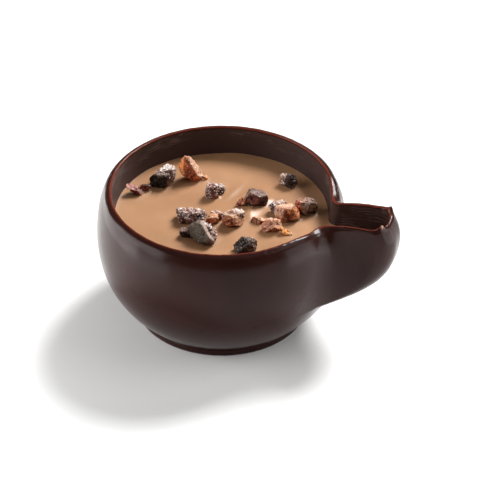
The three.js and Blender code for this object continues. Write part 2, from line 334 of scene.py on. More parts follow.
# Ray angles that divide the outline evenly, and more finely at the handle's cusps and neck.
def rayAngles(count):
    samples = np.linspace(0, 2 * np.pi, fan["samples"])
    outline = wallPoints(outerDistance, samples, bowl["rimHeight"] - fan["belowRim"])
    fineness = np.ones(samples.shape)
    for place, finer in ((lip["cusp"], fan["atCusps"]), (lip["neck"], fan["atNeck"])):
        away = np.hypot(outline[:, 0] - place["x"], np.abs(outline[:, 1]) - place["y"])
        fineness += finer["more"] * bell(away, finer["spread"])
    steps = np.linalg.norm(np.diff(outline, axis=0), axis=1) * fineness[1:]
    lengths = np.concatenate([[0], np.cumsum(steps)])
    return np.interp(np.arange(count) * lengths[-1] / count, lengths, samples)


# Fine wavy ridges, level like the grain of wood, that the stamp leaves on the inner wall. They
# fade out down the bowl and are calm where its wall turns into the handle. Each scale is how often
# noise repeats in a millimetre.
ridges = {
    "each": 0.42,
    "depth": 0.11,
    "depthInHandle": 0.13,
    "handleFrom": 15.5,
    "handleTo": 17.5,
    "fadeFrom": 17.2,
    "fadeTo": 19.8,
    "calm": {"x": 16.7, "spread": 0.9, "share": 0.85},
    "sways": [(0.35, 0.9), (0.9, 0.5)],  # the scale of each, and how far it moves a ridge
    "bold": {"scale": (0.8, 0.8, 1.7), "least": 0.3, "from": 0.3, "to": 0.6},
    "patchy": {"scale": (0.16, 0.16, 0.5), "least": 0.35, "from": 0.3, "to": 0.65},
    "waveShare": 0.6,  # the rest is grain
    "along": 0.2,
    "alongInHandle": 0.42,
    "across": 2.9,
    "grain": 1.9,
    # A pale crest is dust with a painted highlight.
    "pale": (0.3, 0.8),  # heights between which a crest turns pale
    "dustAndSheenRows": 4,
    "dustAndSheenInHandle": 0.32,
}


# 1 in the hollow of the handle, and 0 in the bowl.
def inHandle(x):
    return smoothStep(ridges["handleFrom"], ridges["handleTo"], x)


# Full strength in some places and only the least share in others, by stretched noise.
def patches(points, patch, seed):
    noise = softNoise(points * patch["scale"], seed)
    return mix(patch["least"], 1, smoothStep(patch["from"], patch["to"], noise))


# How high the ridges are, from 0 to 1: a sine of the height that noise makes sway, and
# 1 - |2n - 1| of level, stretched noise.
def ridgeShare(points):
    x, y, z = np.moveaxis(points, -1, 0)
    sway = np.zeros(x.shape)
    for step, (scale, far) in enumerate(ridges["sways"]):
        sway += far * softNoise(points * scale, 5 + step)
    wave = (1 + np.sin(2 * np.pi * (z + sway) / ridges["each"])) / 2
    wave *= patches(points, ridges["bold"], 14)
    along = mix(ridges["along"], ridges["alongInHandle"], inHandle(x))
    level = np.stack([x * along, y * along, z * ridges["across"] + sway], axis=-1)
    grain = 1 - np.abs(2 * softNoise(level * ridges["grain"], 12) - 1)
    onBowl = smoothStep(ridges["fadeFrom"], ridges["fadeTo"], z)
    onBowl = onBowl * patches(points, ridges["patchy"], 13)
    calm = 1 - ridges["calm"]["share"] * bell(x - ridges["calm"]["x"], ridges["calm"]["spread"])
    return calm * mix(onBowl, 1, inHandle(x)) * mix(grain, wave, ridges["waveShare"])


# How far the ridges stand in from the wall.
def ridgeDepth(points):
    depth = mix(ridges["depth"], ridges["depthInHandle"], inHandle(points[..., 0]))
    return ridgeShare(points) * depth


# The cup's mesh: rays round it, and rows of points up its side, down its inner wall as far as the
# cream leaves it bare, and on down to its floor.
cupShell = {"columns": 560, "sideRows": 62, "wallRows": 56, "boreRows": 10, "coveredTo": 16.2}


# The foot's rings: its underside, its bevel, its upright side and the groove under the bowl. The
# shares of the bevel and the groove round their corners.
def footRings(angles):
    radius, height, bevel, groove = [foot[part] for part in ("radius", "height", "bevel", "groove")]
    profile = [
        (radius - bevel - foot["underside"], 0),
        (radius - bevel, 0),
        (radius - 0.4 * bevel, 0.3 * bevel),
        (radius, bevel),
        (radius + foot["bulge"], height / 2),
        (radius, height - 0.7 * groove),
        (radius - 0.3 * groove, height - 0.4 * groove),
        (radius - groove, height),
    ]
    start = fanStart(angles)
    along = -start * np.cos(angles)
    rings = []
    for ringRadius, z in profile:
        reach = along + np.sqrt(along**2 + ringRadius**2 - start**2)
        x = start + reach * np.cos(angles)
        rings.append(np.stack([x, reach * np.sin(angles), np.full(angles.shape, z)], axis=-1))
    return rings


# The lip's rings, between the last of the outer wall and the first of the inner one. Across the
# lip the step runs from -1 to 1. Outside the crest the fall is its square, which goes on from the
# lean of the wall, and inside the crest a quarter of an ellipse.
def lipRings(outer, inner):
    outward = -np.linspace(1, 0, lip["outerRows"] + 1, endpoint=False)[1:, None]
    inward = np.sin(np.linspace(0, np.pi / 2, lip["innerRows"], endpoint=False))[:, None]
    step = np.concatenate([outward, inward])
    flatness = np.cos(np.arcsin(step))
    crest = crestShare(outer[:, 0])
    share = np.where(step < 0, crest * (1 + step), crest + (1 - crest) * step)
    x, y, _ = np.moveaxis(mix(outer, inner, share[..., None]), -1, 0)
    fall = np.where(step < 0, lip["shoulder"] * step**2, lip["innerDrop"] * (1 - flatness))
    uneven = lowWaves(x, y, lip["unevenness"], 21) - nickDepth(x, y)
    return np.stack([x, y, edgeHeight(x, y) - fall + uneven * flatness], axis=-1)


# The cup as rings: under the foot, up its side, over the groove, up the outer wall, over the lip,
# down the inner wall and down to the floor. Also the number of rings before the lip's.
def cupRings(angles):
    base = footRings(angles)
    edge = wallPoints(outerDistance, angles, bowl["rimHeight"] - lip["shoulder"])
    top = edgeHeight(edge[:, 0], edge[:, 1]) - lip["shoulder"]
    share = np.linspace(0, 1, cupShell["sideRows"])[:, None]
    height = mix(foot["height"] + foot["groove"] / 2, top, share)
    near = np.clip(1 - (top - height) / lip["roundedBelow"], 0, 1)
    drawnIn = mix(lip["drawnIn"], lip["drawnInHandle"], alongHandle(edge[:, 0]))
    drawnIn += lip["moreAtNeck"] * bell(edge[:, 0] - lip["neck"]["x"], lip["moreSpread"])
    side = wallPoints(outerDistance, angles, height, drawnIn * near**2)

    edge = wallPoints(innerDistance, angles, bowl["rimHeight"] - lip["innerDrop"])
    top = edgeHeight(edge[:, 0], edge[:, 1]) - lip["innerDrop"]
    share = np.linspace(0, 1, cupShell["wallRows"])[:, None]
    wall = wallPoints(innerDistance, angles, mix(top, cupShell["coveredTo"], share))
    wall = wallPoints(innerDistance, angles, wall[..., 2], ridgeDepth(wall))

    levels = np.linspace(cupShell["coveredTo"], bore["floor"], cupShell["boreRows"] + 1)[1:, None]
    covered = wallPoints(innerDistance, angles, levels)
    rings = np.concatenate([base, side, lipRings(side[-1], wall[0]), wall, covered])
    return rings, len(base) + len(side)


# The cup. Each point carries how much it has of the lip's thin red-brown line, of the inner wall's
# dull finish, a greyish bloom with painted sheen, of a ridge's pale crest, dust with a painted
# highlight, and of the near cusp's pale tip.
def makeCup():
    angles = rayAngles(cupShell["columns"])
    rings, lipStart = cupRings(angles)
    rows, columns = rings.shape[:2]
    points = np.concatenate([[[0, 0, 0]], rings.reshape(-1, 3), [[0, 0, bore["floor"]]]])

    # The line is a bell over the share of the way across the lip, and over the rows below it.
    lipEnd = lipStart + lip["outerRows"] + lip["innerRows"]
    outer, inner = rings[lipStart - 1], rings[lipEnd]
    width = np.linalg.norm(inner - outer, axis=-1)
    share = np.linalg.norm(rings[lipStart:lipEnd, :, :2] - outer[:, :2], axis=-1) / width
    line = np.zeros((rows, columns))
    line[lipStart:lipEnd] = bell(share - (1 + crestShare(outer[:, 0])) / 2, lip["lineWidth"])
    line[lipEnd:] = lip["lineBelow"] * bell(np.arange(rows - lipEnd), lip["lineRows"])[:, None]

    # The inner wall's share: its dull finish, and its grey colour, which is bloom with painted
    # sheen.
    dustAndSheen = smoothStep(lipEnd, lipEnd + ridges["dustAndSheenRows"], np.arange(rows))[:, None]
    dustAndSheen = dustAndSheen * mix(1, ridges["dustAndSheenInHandle"], inHandle(rings[..., 0]))
    # A ridge's pale crest: dust on its top together with a painted highlight.
    crest = smoothStep(*ridges["pale"], ridgeShare(rings)) * dustAndSheen
    tip = [lip["cusp"]["x"], -lip["cusp"]["y"], bowl["rimHeight"] + lip["cusp"]["rise"]]
    pale_tip = 1 - smoothStep(*lip["paleReach"], np.linalg.norm(rings - tip, axis=-1))
    shares = {"lip_line": line, "inner_wall": dustAndSheen, "crest": crest, "pale_tip": pale_tip}
    numbers = {label: np.pad(values.ravel(), 1) for label, values in shares.items()}
    return makePiece("cup_shell", points, ringFaces(rows, columns), numbers)


# A lump of the topping: where the middle of it is in plan and up from the cream, its length, width
# and height, how far its far end leans down, its turn from the photo's view, its broken sides and
# what it has of its own. Some lumps make up one chip. Each side is the way it faces, as right, back
# and up in the photo, how far out it cuts the lump, its colour, and how crusted it is. A side's
# colour is the lump's own colour together with painted light and shade for the way that side faces.
# The last and the cut are shares from 0 to 1.
def broken(x, y, up, size, lean, turn, *sides, **own):
    place = {"x": x, "y": y, "up": up, "size": size, "lean": lean, "turn": turn}
    return {**place, "sides": sides, **own}


# In these tables each side's colour holds painted light and shade as well as the chip's own colour.
hazelnut = {
    "tones": ("#8e4c2e", "#c98a5c"), "crust": "#e5c6ae", "pit": "#5e2718", "grains": 3.8,
    "rough": 0.18, "sparks": 0.35, "crystal": "#f3e0cf", "sugar": 0.42, "pitted": 0.46,
    "speckle": "#a07e68", "roughness": (0.36, 0.6),
    "lumps": [
        broken(-7.3, 6.9, 1.9, (6.1, 2.6, 2.8), 52, 0,
            (0.05, -1, 0.3, 0.62, "#bd6a44", 0.2), (-0.85, -0.55, 0.2, 0.6, "#ef9c52", 0),
            (0.35, -0.65, -0.7, 0.74, "#dd6e28", 0), (0.85, -0.1, 0.5, 0.6, "#caa590", 0.8),
            (-0.5, 0.8, 0.4, 0.62, "#d08c58", 0.2), pitted=0.36),
        broken(-5.5, 7.4, 0.35, (1.7, 1.1, 1.2), 30, 0,
            (-0.3, -1, 0.4, 0.7, "#dba982", 0.3), (0.3, 0.2, 1, 0.7, "#e2bfa2", 0.6)),
        broken(-0.5, -2.5, 0.6, (2, 1.5, 1.8), 10, 20,
            (-0.3, -1, 0.1, 0.75, "#a8552c", 0), (-0.2, -0.1, 1, 0.7, "#dca987", 0.5)),
        broken(2.5, -2.1, 1, (3.5, 2.6, 3.1), 0, 10,
            (-0.5, -0.9, 0.3, 0.78, "#b8734c", 0.35), (0.1, -0.75, -0.7, 0.75, "#8c4a30", 0),
            (0.75, -0.65, 0.25, 0.72, "#d2a78a", 0.6), (-0.1, 0.1, 1, 0.75, "#e2c6b4", 0.9)),
        broken(6.1, -0.5, 0.4, (2.5, 1.3, 1.5), 6, -10,
            (-0.5, -0.7, 0.5, 0.66, "#d39a74", 0.5), (0.4, -1, 0.1, 0.6, "#96502c", 0.1),
            (0.3, 0.2, 1, 0.5, "#dfb59a", 0.7)),
        broken(9.7, 1.6, 1.2, (4.1, 2.7, 3.1), 22, -10,
            (0.2, -1, 0.3, 0.72, "#bb7144", 0.25), (0.25, -0.6, -0.8, 0.7, "#6a3626", 0),
            (-0.75, -0.6, 0.5, 0.8, "#d0a088", 0.8), (0.9, -0.25, 0.4, 0.8, "#c68250", 0.3),
            (-0.1, 0.3, 1, 0.72, "#dcb49c", 0.7)),
        broken(8.4, -1.6, 0.9, (3.2, 2.2, 2.6), -15, 0,
            (-0.55, -0.8, 0.45, 0.66, "#c98e76", 0.55), (0.15, -0.9, -0.5, 0.72, "#a65e30", 0),
            (0.7, -0.5, 0.5, 0.64, "#d9a888", 0.6), (0, 0.5, 1, 0.74, "#d2a086", 0.8)),
        broken(10.7, -2, 0.4, (2.4, 1.1, 0.9), 32, -27,
            (0.2, -0.6, 0.8, 0.5, "#dfa362", 0.1), (0, -1, -0.4, 0.6, "#b2703a", 0)),
        broken(2.1, 2.7, 0.6, (2.3, 1.1, 1.3), -55, 0,
            (-0.3, -1, 0.3, 0.66, "#b87258", 0.4), (0.3, -0.8, -0.5, 0.7, "#5c2c22", 0)),
        broken(10.9, 3.8, 1.1, (1.7, 1.7, 3.2), -8, 0,
            (-0.7, -0.8, 0.3, 0.7, "#a45e4a", 0.4), (0.1, -0.8, -0.6, 0.8, "#b07850", 0.3),
            (-0.2, 0, 1, 0.8, "#c08470", 0.6)),
    ],
}
cocoa = {
    "tones": ("#241a18", "#4c3c38"), "crust": "#b3a292", "pit": "#150b09", "grains": 4.6,
    "rough": 0.16, "sparks": 0.3, "crystal": "#e4d6cb", "sugar": 0.3, "pitted": 0.42,
    "speckle": "#8a7c74", "roughness": (0.4, 0.68),
    "lumps": [
        broken(-13.8, 0.7, 0.85, (3.7, 1.9, 1), 34, 0,
            (0.1, -0.3, 0.95, 0.42, "#c88a7e", 0.5), (-0.2, -1, -0.3, 0.6, "#7c302a", 0.1),
            (0.8, -0.6, 0.1, 0.7, "#b88a80", 0.8), pitted=0.38),
        broken(-12.7, 2, 0.5, (1.7, 1, 1.3), -10, 0,
            (-0.2, -1, 0.4, 0.75, "#b4604a", 0.3), (0.5, -0.8, -0.3, 0.7, "#5c241c", 0)),
        broken(-11, 4, 1, (3.6, 2.2, 2.7), -20, -10,
            (-0.1, -1, 0.15, 0.7, "#25211e", 0), (-0.75, -0.4, 0.55, 0.72, "#2e2824", 0.3),
            (0.95, -0.4, 0, 0.74, "#5a342c", 0.4), (-0.1, 0.3, 1, 0.74, "#8c7a72", 0.8)),
        broken(-0.5, -7.3, 1.3, (5.5, 2.8, 3), 16, -52,
            (-0.62, -0.8, 0.35, 0.45, "#6b655a", 0.25), (-0.2, -0.6, -0.8, 0.7, "#1c1412", 0),
            (0.8, 0.1, 0.6, 0.6, "#b8a299", 1), (0.75, -0.65, 0.1, 0.74, "#4a241e", 0.3),
            (-0.4, 0.6, 0.8, 0.75, "#6e625a", 0.5), sparks=0.5, pitted=0.2),
        broken(4.1, 3.7, 1.3, (3.9, 2.8, 3.3), 14, -10,
            (-0.35, -0.95, 0.2, 0.66, "#7c4438", 0.2), (0.65, -0.8, 0, 0.7, "#4c2a26", 0.1),
            (0.05, -0.65, -0.75, 0.72, "#2a1614", 0), (0.25, 0.05, 1, 0.6, "#8a7067", 0.6),
            (-0.9, 0.1, 0.5, 0.72, "#7a625c", 0.5)),
        broken(6.3, -7.5, 0.9, (3.8, 2.4, 2.8), -12, 5,
            (-0.6, -0.6, 0.65, 0.5, "#38271f", 0.15), (0.1, -1, -0.1, 0.7, "#281812", 0.1),
            (0.85, -0.6, 0.2, 0.66, "#5c4436", 0.25), (0.3, 0.2, 1, 0.7, "#4a3428", 0.25),
            sparks=0.75),
        broken(7.5, 10.1, 0.8, (1.9, 1.9, 2.6), 0, 0,
            (-0.1, -1, 0.2, 0.85, "#34241f", 0), (0.6, -0.5, 0.7, 0.85, "#3c2b26", 0.1)),
        broken(11.8, 4.2, 1.1, (2.1, 2.4, 3.2), 0, 0,
            (-0.3, -1, 0.3, 0.76, "#a48c7c", 0.55), (0.5, -0.9, 0, 0.8, "#86644c", 0.35),
            (-0.1, -0.1, 1, 0.78, "#b48878", 0.75)),
        broken(12.5, 4.5, 1.1, (1.7, 2, 2.8), 0, 0,
            (0.5, -0.9, 0.2, 0.8, "#8c684c", 0.4), (0.3, -0.7, -0.6, 0.8, "#4c3424", 0.1),
            (0.3, 0, 1, 0.8, "#8c7264", 0.5)),
        broken(-3.1, -6.9, 0.6, (1.9, 1.7, 2), 0, 0,
            (-0.4, -1, 0, 0.75, "#33201f", 0.2), (-0.3, -0.1, 1, 0.72, "#a08078", 0.7)),
    ],
}
sugared = {
    "tones": ("#4c2622", "#7c4c42"), "crust": "#f0e3dc", "pit": "#2e1614", "grains": 3.4,
    "rough": 0.36, "sparks": 0.6, "crystal": "#fbf3ee", "sugar": 0.62, "pitted": 0.44,
    "speckle": "#8c7a74", "roughness": (0.42, 0.6),
    "lumps": [
        broken(-4.2, -3.5, 1, (2.8, 2.1, 2.7), 0, 0,
            (-0.3, -1, 0.2, 0.8, "#7c4030", 0.55), (0, -0.6, -0.8, 0.75, "#2e1a16", 0),
            (-0.1, 0, 1, 0.78, "#a67a68", 0.85)),
        broken(-2.7, -3.2, 1.2, (2.8, 2, 2.4), 10, 0,
            (0.1, -1, 0.2, 0.8, "#6c382c", 0.5), (0.8, -0.5, 0.4, 0.8, "#7e5042", 0.7),
            (0.1, 0, 1, 0.75, "#a67a68", 0.9)),
        broken(-5.3, -2.7, 0.9, (1.6, 1.4, 1.5), 0, 0,
            (-0.6, -0.8, 0.3, 0.8, "#9c6c54", 0.5), (0, 0, 1, 0.8, "#b09a92", 0.9)),
        broken(-10.8, 5.3, 1.8, (3.3, 1.7, 1.2), -36, 3.5,
            (0.2, -1, -0.2, 0.6, "#8a6258", 0.5), (-0.35, 0, 0.95, 0.55, "#e6dad4", 1),
            (0.8, -0.3, 0.6, 0.74, "#d4c6be", 1)),
        broken(-9.7, 5.7, 1.3, (1.1, 1.3, 2.5), 8, 0,
            (-0.6, -0.8, 0.2, 0.66, "#a27c72", 0.6), (0.8, -0.6, 0.2, 0.7, "#c8b6ae", 1),
            (0, 0, 1, 0.8, "#d6c8c2", 1)),
        broken(-2.7, 3.6, 1, (2, 1.9, 3.1), 0, 0,
            (-0.4, -1, 0.2, 0.76, "#6c3a2e", 0.45), (0.3, -0.8, -0.5, 0.8, "#7a3c2a", 0.1),
            (-0.2, 0, 1, 0.8, "#8c5444", 0.6)),
        broken(-2, 4.9, 0.7, (2, 1.4, 2), 30, 0,
            (0.2, -1, 0.1, 0.75, "#5a4440", 0.3), (0.4, -0.1, 0.9, 0.7, "#a88f86", 0.8)),
        broken(2.8, -1.5, 1.7, (2.5, 1.7, 1.5), 0, 0,
            (-0.5, -0.8, 0.4, 0.8, "#c6906e", 0.6), (0.3, 0, 1, 0.75, "#d8bcaa", 0.9)),
        broken(7.9, 2.9, 1, (2.8, 1.9, 2.4), 0, 0,
            (-0.7, -0.7, 0, 0.8, "#57494a", 0.4), (0.2, -0.8, 0.5, 0.8, "#c08c74", 0.7),
            (-0.1, 0.1, 1, 0.76, "#d2b4a4", 0.9)),
        broken(0.2, -6.2, 1.1, (4, 1.5, 2), 24, -55,
            (0.8, -0.4, 0.4, 0.7, "#94746c", 0.8), (0.5, 0.3, 0.9, 0.7, "#b8a29a", 0.95),
            (0.5, -0.8, -0.4, 0.75, "#54261e", 0.1)),
        broken(6.5, 10.2, 0.7, (1.5, 1.4, 2.4), 0, 0,
            (-0.3, -1, 0.2, 0.8, "#a87e66", 0.5), (-0.2, 0, 1, 0.8, "#b89a88", 0.7)),
        broken(-0.2, -1.5, 0.8, (1.9, 1.3, 1.4), 15, 0,
            (-0.4, -1, 0.3, 0.75, "#c08464", 0.5), (0, 0, 1, 0.75, "#e0bba2", 0.8)),
    ],
}


cream = {
    "level": 16.6,
    "floor": 2.3,
    "columns": 480,
    "rows": 130,
    "crowding": 1.25,  # above 1, the rings of the top lie closer together near the wall
    "middle": 4,  # where along X they close
    "sideRows": 8,
    "sideBelow": 0.4,  # how far under the level the side's last ring is
    "intoWall": 0.1,
    "meniscus": 0.08,
    "meniscusWidth": 0.4,
    "skirt": {"high": 0.1, "beyond": 0.25, "upTo": 1.6},
    "waves": [(0.13, 0.3), (0.31, 0.12), (0.9, 0.012)],
    "folds": [
        {"x": 4.0, "y": 1.4, "turn": 94, "long": 2.1, "wide": 1.0, "high": 0.56},
        {"x": 5.4, "y": 4.8, "turn": 80, "long": 1.1, "wide": 0.65, "high": 0.38},
        {"x": 11.4, "y": 2.4, "turn": 80, "long": 0.5, "wide": 0.35, "high": 0.2},
        {"x": -1.7, "y": 3.7, "turn": 100, "long": 0.4, "wide": 0.3, "high": 0.14},
        {"x": -0.2, "y": 5.8, "turn": 78, "long": 2.6, "wide": 0.7, "high": 0.16},
        {"x": 1.4, "y": 4.6, "turn": 70, "long": 2.2, "wide": 0.5, "high": 0.12},
    ],
}


# Height of the cream: level, with low waves, folds, a rise at the wall and a skirt round each lump
# that lies low in it.
def creamHeight(x, y):
    height = cream["level"] + lowWaves(x, y, cream["waves"], 31)
    toWall = np.maximum(-innerDistance(x, y, cream["level"]), 0)
    height += cream["meniscus"] * np.exp(-toWall / cream["meniscusWidth"])
    for fold in cream["folds"]:
        turn = np.radians(fold["turn"])
        along = (x - fold["x"]) * np.cos(turn) + (y - fold["y"]) * np.sin(turn)
        across = (y - fold["y"]) * np.cos(turn) - (x - fold["x"]) * np.sin(turn)
        height += fold["high"] * bell(along, fold["long"]) * bell(across, fold["wide"])
    skirt = cream["skirt"]
    for lump in hazelnut["lumps"] + cocoa["lumps"] + sugared["lumps"]:
        reach = (lump["size"][0] + lump["size"][1]) / 4 + skirt["beyond"]
        away = np.hypot(x - lump["x"], y - lump["y"]) / reach
        height += skirt["high"] * np.exp(-(away**4)) * np.exp(-((lump["up"] / skirt["upTo"]) ** 4))
    return height


# The cream as rings: across its hidden floor, up the inner wall, and over its top to one middle,
# to which each ray's start slides as the ring shrinks.
def makeCream():
    angles = rayAngles(cream["columns"])
    sideTop = cream["level"] - cream["sideBelow"]
    levels = np.linspace(cream["floor"], sideTop, cream["sideRows"])[:, None]
    side = wallPoints(innerDistance, angles, levels)
    brim = wallPoints(innerDistance, angles, cream["level"], -cream["intoWall"])
    share = 1 - np.linspace(0, 1, cream["rows"], endpoint=False)[:, None] ** cream["crowding"]
    start = fanStart(angles)
    x = mix(cream["middle"], start, smoothStep(0, 1, share)) + share * (brim[:, 0] - start)
    y = share * brim[:, 1]
    top = np.stack([x, y, creamHeight(x, y)], axis=-1)
    middle = np.array([[cream["middle"], 0.0, 0.0]])
    middle[0, 2] = creamHeight(middle[:, 0], middle[:, 1])[0]
    rings = np.concatenate([side, top])
    points = np.concatenate([[[0, 0, cream["floor"]]], rings.reshape(-1, 3), middle])
    return makePiece("praline_cream", points, ringFaces(*rings.shape[:2]))


lumpGrid = {
    "rows": 60,
    "columns": 90,
    "facets": 9,
    "nearFacet": 0.86,
    "farFacet": 1.05,
    "sharpness": 22,
    "blend": 9,  # how sharply the colours of two sides part
}

# What covers a lump. Each scale is how often noise repeats in a millimetre, and each edge is the
# numbers between which a thing ends or begins.
lumpSkin = {
    "swell": {"scale": 1.2, "high": 0.16},
    "roughScale": 4.4,
    "grain": {"high": 0.12, "least": 0.25, "edge": (0.6, 0.2)},
    "pit": {"scale": 2.6, "deep": 0.17, "edge": 0.16, "filled": 0.4, "stain": 0.85},
    "tone": {"scale": 1.5, "edge": (0.3, 0.7)},
    "shade": {"scale": (2.2, 2.2, 4), "darkest": 0.65, "lightest": 1.35},
    "crust": {"scale": 2.1, "spread": 0.8, "edge": (0.3, 0.85), "onFacets": 0.35, "onEdges": 0.3},
    "sideEdge": (0.3, 0.6),
    "dust": {"edge": (0.6, 0.25), "between": 0.2, "least": 0.35},
    "spark": {"edge": (0.42, 0.2), "picked": (0.5, 0.6)},
}


# A colour written as red, green and blue bytes, as light.
def lightOf(text):
    value = np.array([int(text[k : k + 2], 16) for k in (1, 3, 5)]) / 255
    return np.where(value < 0.04045, value / 12.92, ((value + 0.055) / 1.055) ** 2.4)


# Directions over a ball, by rows from pole to pole.
def ballDirections(rows, columns):
    rise = np.linspace(-np.pi / 2, np.pi / 2, rows + 2)[:, None]
    turn = np.arange(columns) * 2 * np.pi / columns
    flat = np.cos(rise)
    return np.stack([flat * np.cos(turn), flat * np.sin(turn), np.sin(rise) + 0 * turn], axis=-1)


# Ways that face all round, by turns of 137.5 degrees, and how far out each cuts.
def smallFacets(seed):
    k = np.arange(lumpGrid["facets"])
    height = 1 - 2 * (k + 0.5) / lumpGrid["facets"]
    flat = np.sqrt(1 - height**2)
    around = 2.39996 * k + 6.28 * cellNumber(np.array([seed, 1, 0]), 0)
    ways = np.stack([flat * np.cos(around), flat * np.sin(around), height], axis=-1)
    cells = np.stack([np.full(k.shape, seed), k + 2, np.zeros(k.shape)], axis=-1)
    return ways, mix(lumpGrid["nearFacet"], lumpGrid["farFacet"], cellNumber(cells, 0))


# How strongly each broken side, and after them each small facet, cuts each direction.
def lumpCuts(lump, half, directions, seed):
    facing = np.array([side[:3] for side in lump["sides"]], float)
    ways = turnBack(facing, lump["lean"], lump["turn"]) * half
    ways /= np.linalg.norm(ways, axis=-1, keepdims=True)
    facets, facetDistances = smallFacets(seed)
    distances = np.concatenate([[side[3] for side in lump["sides"]], facetDistances])
    return np.maximum(directions @ np.concatenate([ways, facets]).T, 0) / distances


# The colour of a lump's points, its own colour with the sides' painted light and shade, and how
# crusted they are: each point blends those of the sides that cut it most. Facets have the kind's
# own tones, and edges between sides have more crust.
def lumpFleshAndPaintedLight(kind, lump, cuts, local, seed):
    shares = cuts ** lumpGrid["blend"]
    shares /= shares.sum(axis=-1, keepdims=True)
    sides = shares[..., : len(lump["sides"])]
    facets = 1 - sides.sum(axis=-1)
    tone, shade, crust = lumpSkin["tone"], lumpSkin["shade"], lumpSkin["crust"]
    dark, pale = [lightOf(text) for text in kind["tones"]]
    light = smoothStep(*tone["edge"], softNoise(local * tone["scale"], seed + 100))
    colour = mix(dark, pale, light[..., None]) * facets[..., None]
    colour += sides @ np.array([lightOf(side[4]) for side in lump["sides"]])
    clouds = softNoise(local * shade["scale"], seed + 110)
    colour *= mix(shade["darkest"], shade["lightest"], clouds)[..., None]
    crusted = sides @ np.array([side[5] for side in lump["sides"]]) + crust["onFacets"] * facets
    edges = smoothStep(*lumpSkin["sideEdge"], 1 - shares.max(axis=-1))
    return colour, crusted + crust["onEdges"] * edges


# A lump's points: a ball of directions cut flat by its broken sides and by small facets between
# them, stretched, then swollen, pitted and crusted with grains. The cuts are one smooth lower
# limit: a mean of them all, of the power that sharpness gives.
def lumpSurface(kind, lump, seed):
    directions = ballDirections(lumpGrid["rows"], lumpGrid["columns"])
    half = np.array(lump["size"]) / 2
    cuts = lumpCuts(lump, half, directions, seed)
    reach = (1 + (cuts ** lumpGrid["sharpness"]).sum(axis=-1)) ** (-1 / lumpGrid["sharpness"])
    local = directions * reach[..., None] * half
    colour, crusted = lumpFleshAndPaintedLight(kind, lump, cuts, local, seed)

    swell, grain, pit = lumpSkin["swell"], lumpSkin["grain"], lumpSkin["pit"]
    distance, own = grainNoise(local * kind["grains"], seed + 60)
    crust = lumpSkin["crust"]
    spread = crust["spread"] * (softNoise(local * crust["scale"], seed + 50) - 0.5)
    crust = smoothStep(*crust["edge"], crusted + spread)
    grains = mix(grain["least"], 1, crust) * smoothStep(*grain["edge"], distance)
    pitted = lump.get("pitted", kind["pitted"])
    pits = smoothStep(pitted, pitted - pit["edge"], softNoise(local * pit["scale"], seed + 70))
    pits = pits * (1 - pit["filled"] * crust)
    raised = swell["high"] * (softNoise(local * swell["scale"], seed + 80) - 0.5)
    raised += kind["rough"] * (softNoise(local * lumpSkin["roughScale"], seed + 90) - 0.5)
    raised += grain["high"] * grains - pit["deep"] * pits
    local = local + directions * raised[..., None]

    # Dust lies on the grains of the crust, and sparks are single grains that it picks out.
    dust, spark = lumpSkin["dust"], lumpSkin["spark"]
    colour = mix(colour, lightOf(kind["pit"]), pit["stain"] * pits[..., None])
    onGrain = mix(dust["between"], 1, smoothStep(*dust["edge"], distance))
    dusted = crust * onGrain * mix(dust["least"], 1, own)
    sparks = smoothStep(*spark["edge"], distance) * smoothStep(*spark["picked"], own)
    sparks = sparks * lump.get("sparks", kind["sparks"])
    dusted = np.clip(np.maximum(dusted, sparks), 0, 1)
    colour = mix(colour, lightOf(kind["crust"]), dusted[..., None])

    placed = leanAndTurn(local, lump["lean"], lump["turn"] + photoView["azimuth"])
    middle = [lump["x"], lump["y"], cream["level"] + lump["up"]]
    return placed + middle, colour, dusted


# Turns points about Y, so that +X leans down, and then about Z.
def leanAndTurn(points, lean, turn):
    lean, turn = np.radians([lean, turn])
    x, y, z = np.moveaxis(points, -1, 0)
    x, z = x * np.cos(lean) + z * np.sin(lean), z * np.cos(lean) - x * np.sin(lean)
    x, y = x * np.cos(turn) - y * np.sin(turn), x * np.sin(turn) + y * np.cos(turn)
    return np.stack([x, y, z], axis=-1)


# The other way round: about Z, and then about Y.
def turnBack(points, lean, turn):
    return leanAndTurn(leanAndTurn(points, 0, -turn), -lean, 0)


# One point of the first and the last row, which are poles, and all points between them.
def withPoles(rows):
    flat = rows[1:-1].reshape(-1, *rows.shape[2:])
    return np.concatenate([rows[:1, 0], flat, rows[-1:, 0]])


def makeLumps(name, kind, firstSeed):
    rows, columns = lumpGrid["rows"], lumpGrid["columns"]
    made, faces = [], []
    for number, lump in enumerate(kind["lumps"]):
        made.append([withPoles(part) for part in lumpSurface(kind, lump, firstSeed + number)])
        faces += ringFaces(rows, columns, number * (rows * columns + 2))
    points, colour, crust = [np.concatenate(parts) for parts in zip(*made)]
    return makePiece(name, points, faces, {"crust": crust}, {"flesh_and_painted_light": colour})


